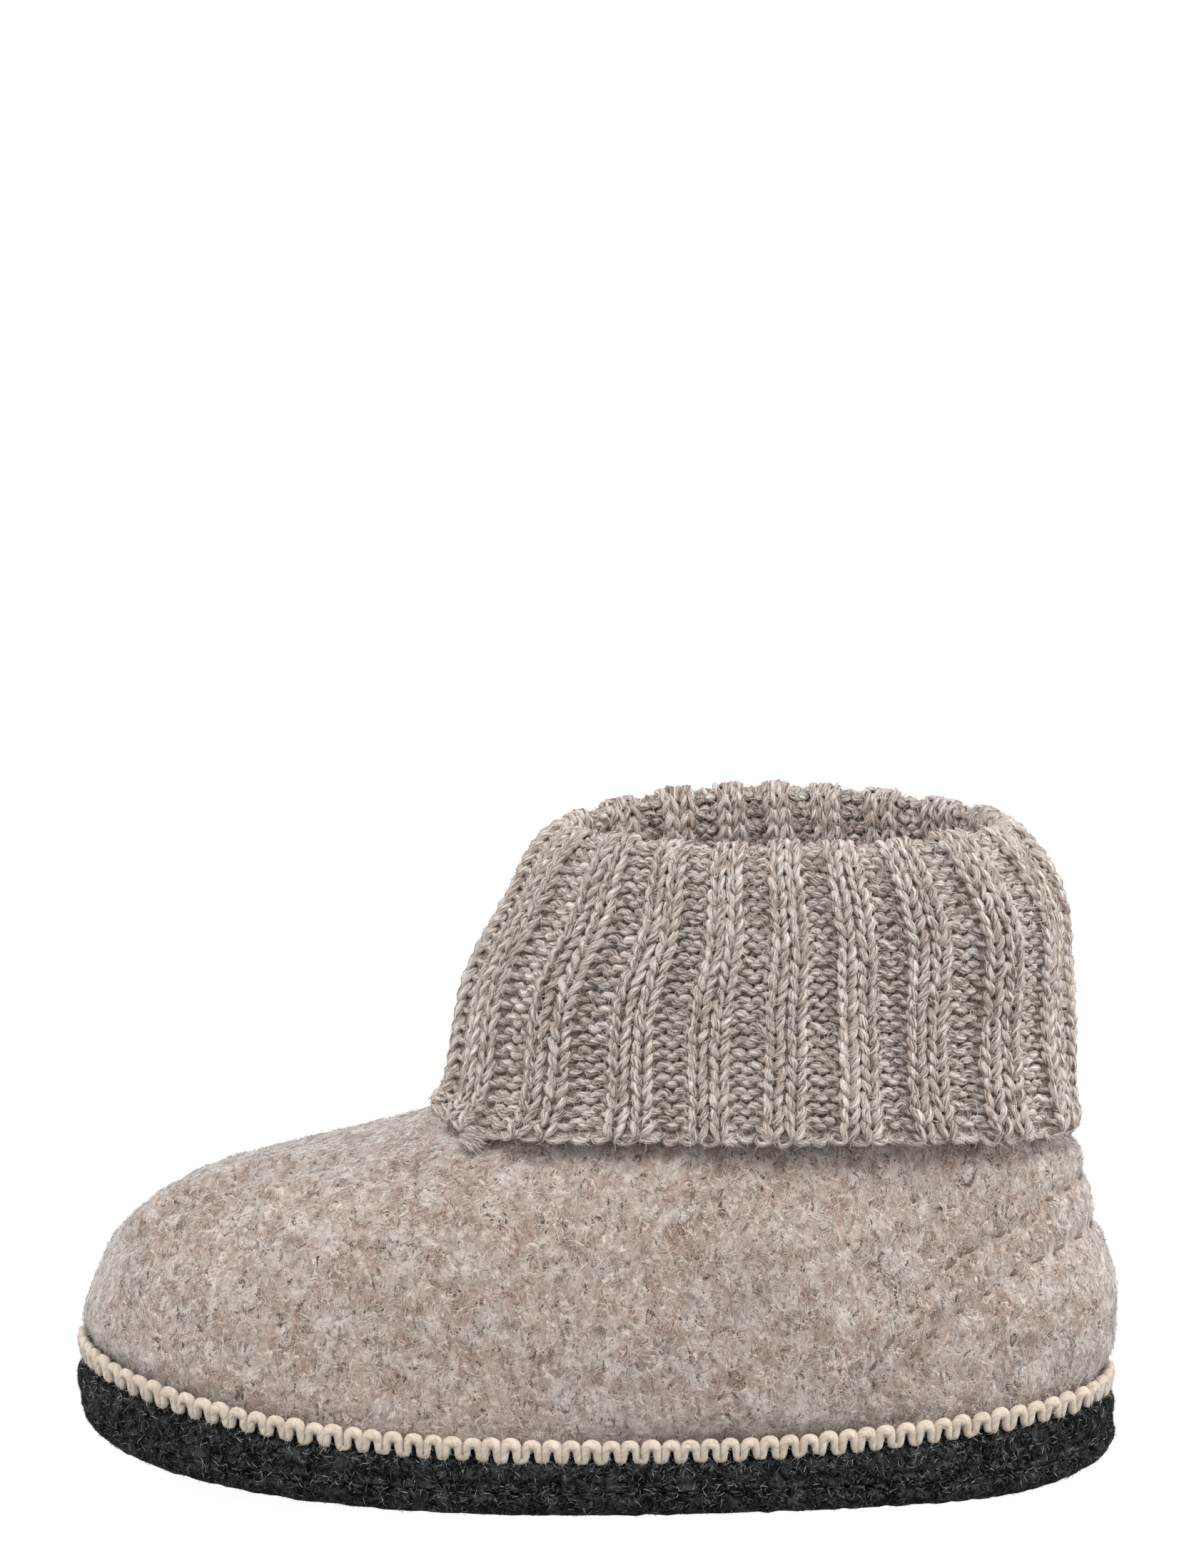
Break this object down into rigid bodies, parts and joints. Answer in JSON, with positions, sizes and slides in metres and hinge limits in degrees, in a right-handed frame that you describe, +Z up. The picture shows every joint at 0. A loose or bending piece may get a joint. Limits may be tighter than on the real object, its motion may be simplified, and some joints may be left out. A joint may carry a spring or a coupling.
{
  "type": "wool slipper",
  "caption": "Boiled-wool ankle slipper with a turned-down rib-knit cuff, cream overcast edge stitching and a thick charcoal felt sole, open at the collar.",
  "frame": {"origin": "on the floor under the ball of the foot, on the flat forefoot of the outsole, at the middle of the slipper's length", "axes": "-X towards the toe, +X towards the heel, -Y towards the outer side of the left foot, +Z up"},
  "size_m": [0.2638, 0.0997, 0.1709],
  "materials": {
    "charcoal_felt": "pressed wool felt, near black with pale stray hairs, matt",
    "footbed_felt": "smooth grey-beige wool felt, matt",
    "boiled_wool": "boiled wool in mottled warm beige with a dense short nap",
    "rib_knit": "two by two rib knit of plied grey-taupe wool yarn, soft halo",
    "cream_yarn": "plump cream wool yarn, matt"
  },
  "bodies": {
    "root": {"outsole": "charcoal_felt", "midsole": "charcoal_felt", "insole": "footbed_felt", "upper": "boiled_wool", "cuff": "rib_knit", "edge_stitch": "cream_yarn"}
  },
  "joints": []
}
